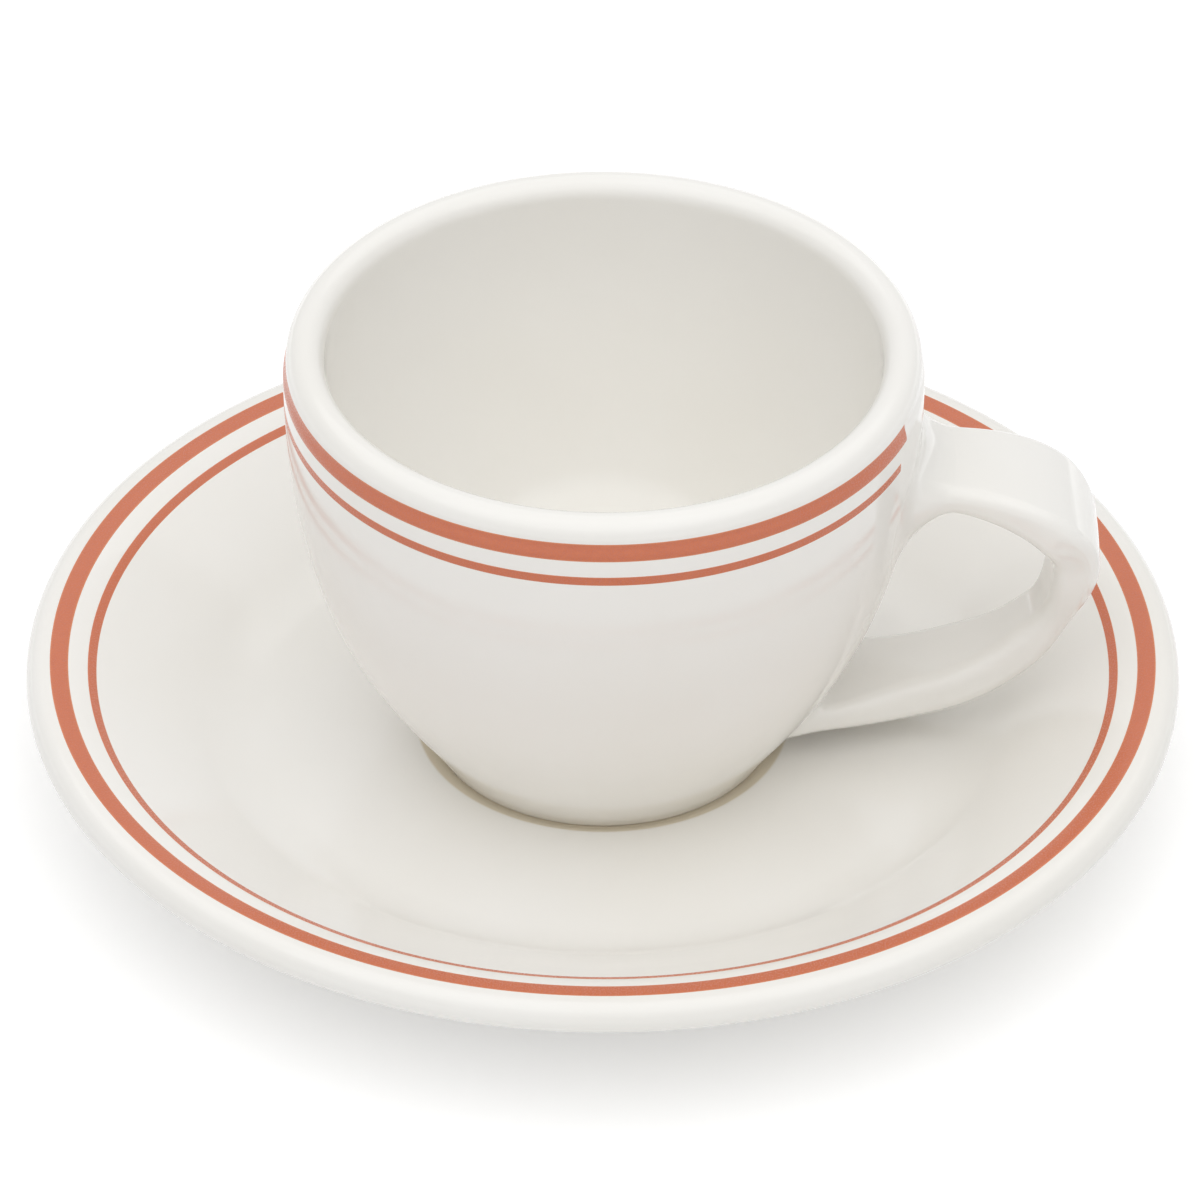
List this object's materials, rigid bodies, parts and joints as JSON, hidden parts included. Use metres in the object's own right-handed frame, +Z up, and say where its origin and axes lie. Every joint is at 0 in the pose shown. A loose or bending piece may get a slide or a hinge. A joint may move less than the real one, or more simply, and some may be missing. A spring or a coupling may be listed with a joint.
{
  "type": "espresso cup with saucer",
  "caption": "Thick glazed espresso cup with a strap handle, standing on its saucer, with wide and narrow terracotta bands round both.",
  "frame": {"origin": "centre of the saucer's foot ring, on the table", "axes": "+Z up along the axis of the saucer and the cup; +X from that axis towards the cup's handle; +Y completes the right hand"},
  "size_m": [0.12, 0.12, 0.0546],
  "materials": {
    "glaze": "thick warm-white glaze, glossy, over a stoneware body",
    "band": "terracotta bands printed in the glaze, glossy, with a fine speckle"
  },
  "bodies": {
    "saucer": {"saucer": "glaze", "saucer_wide_band": "band", "saucer_narrow_band": "band"},
    "cup": {"cup_body": "glaze", "cup_handle": "glaze", "cup_wide_band": "band", "cup_narrow_band": "band"}
  },
  "joints": [
    {"name": "cup_lift", "type": "slide", "parent": "saucer", "child": "cup", "axis": [0, 0, 1], "range_m": [0, 0.06]}
  ]
}
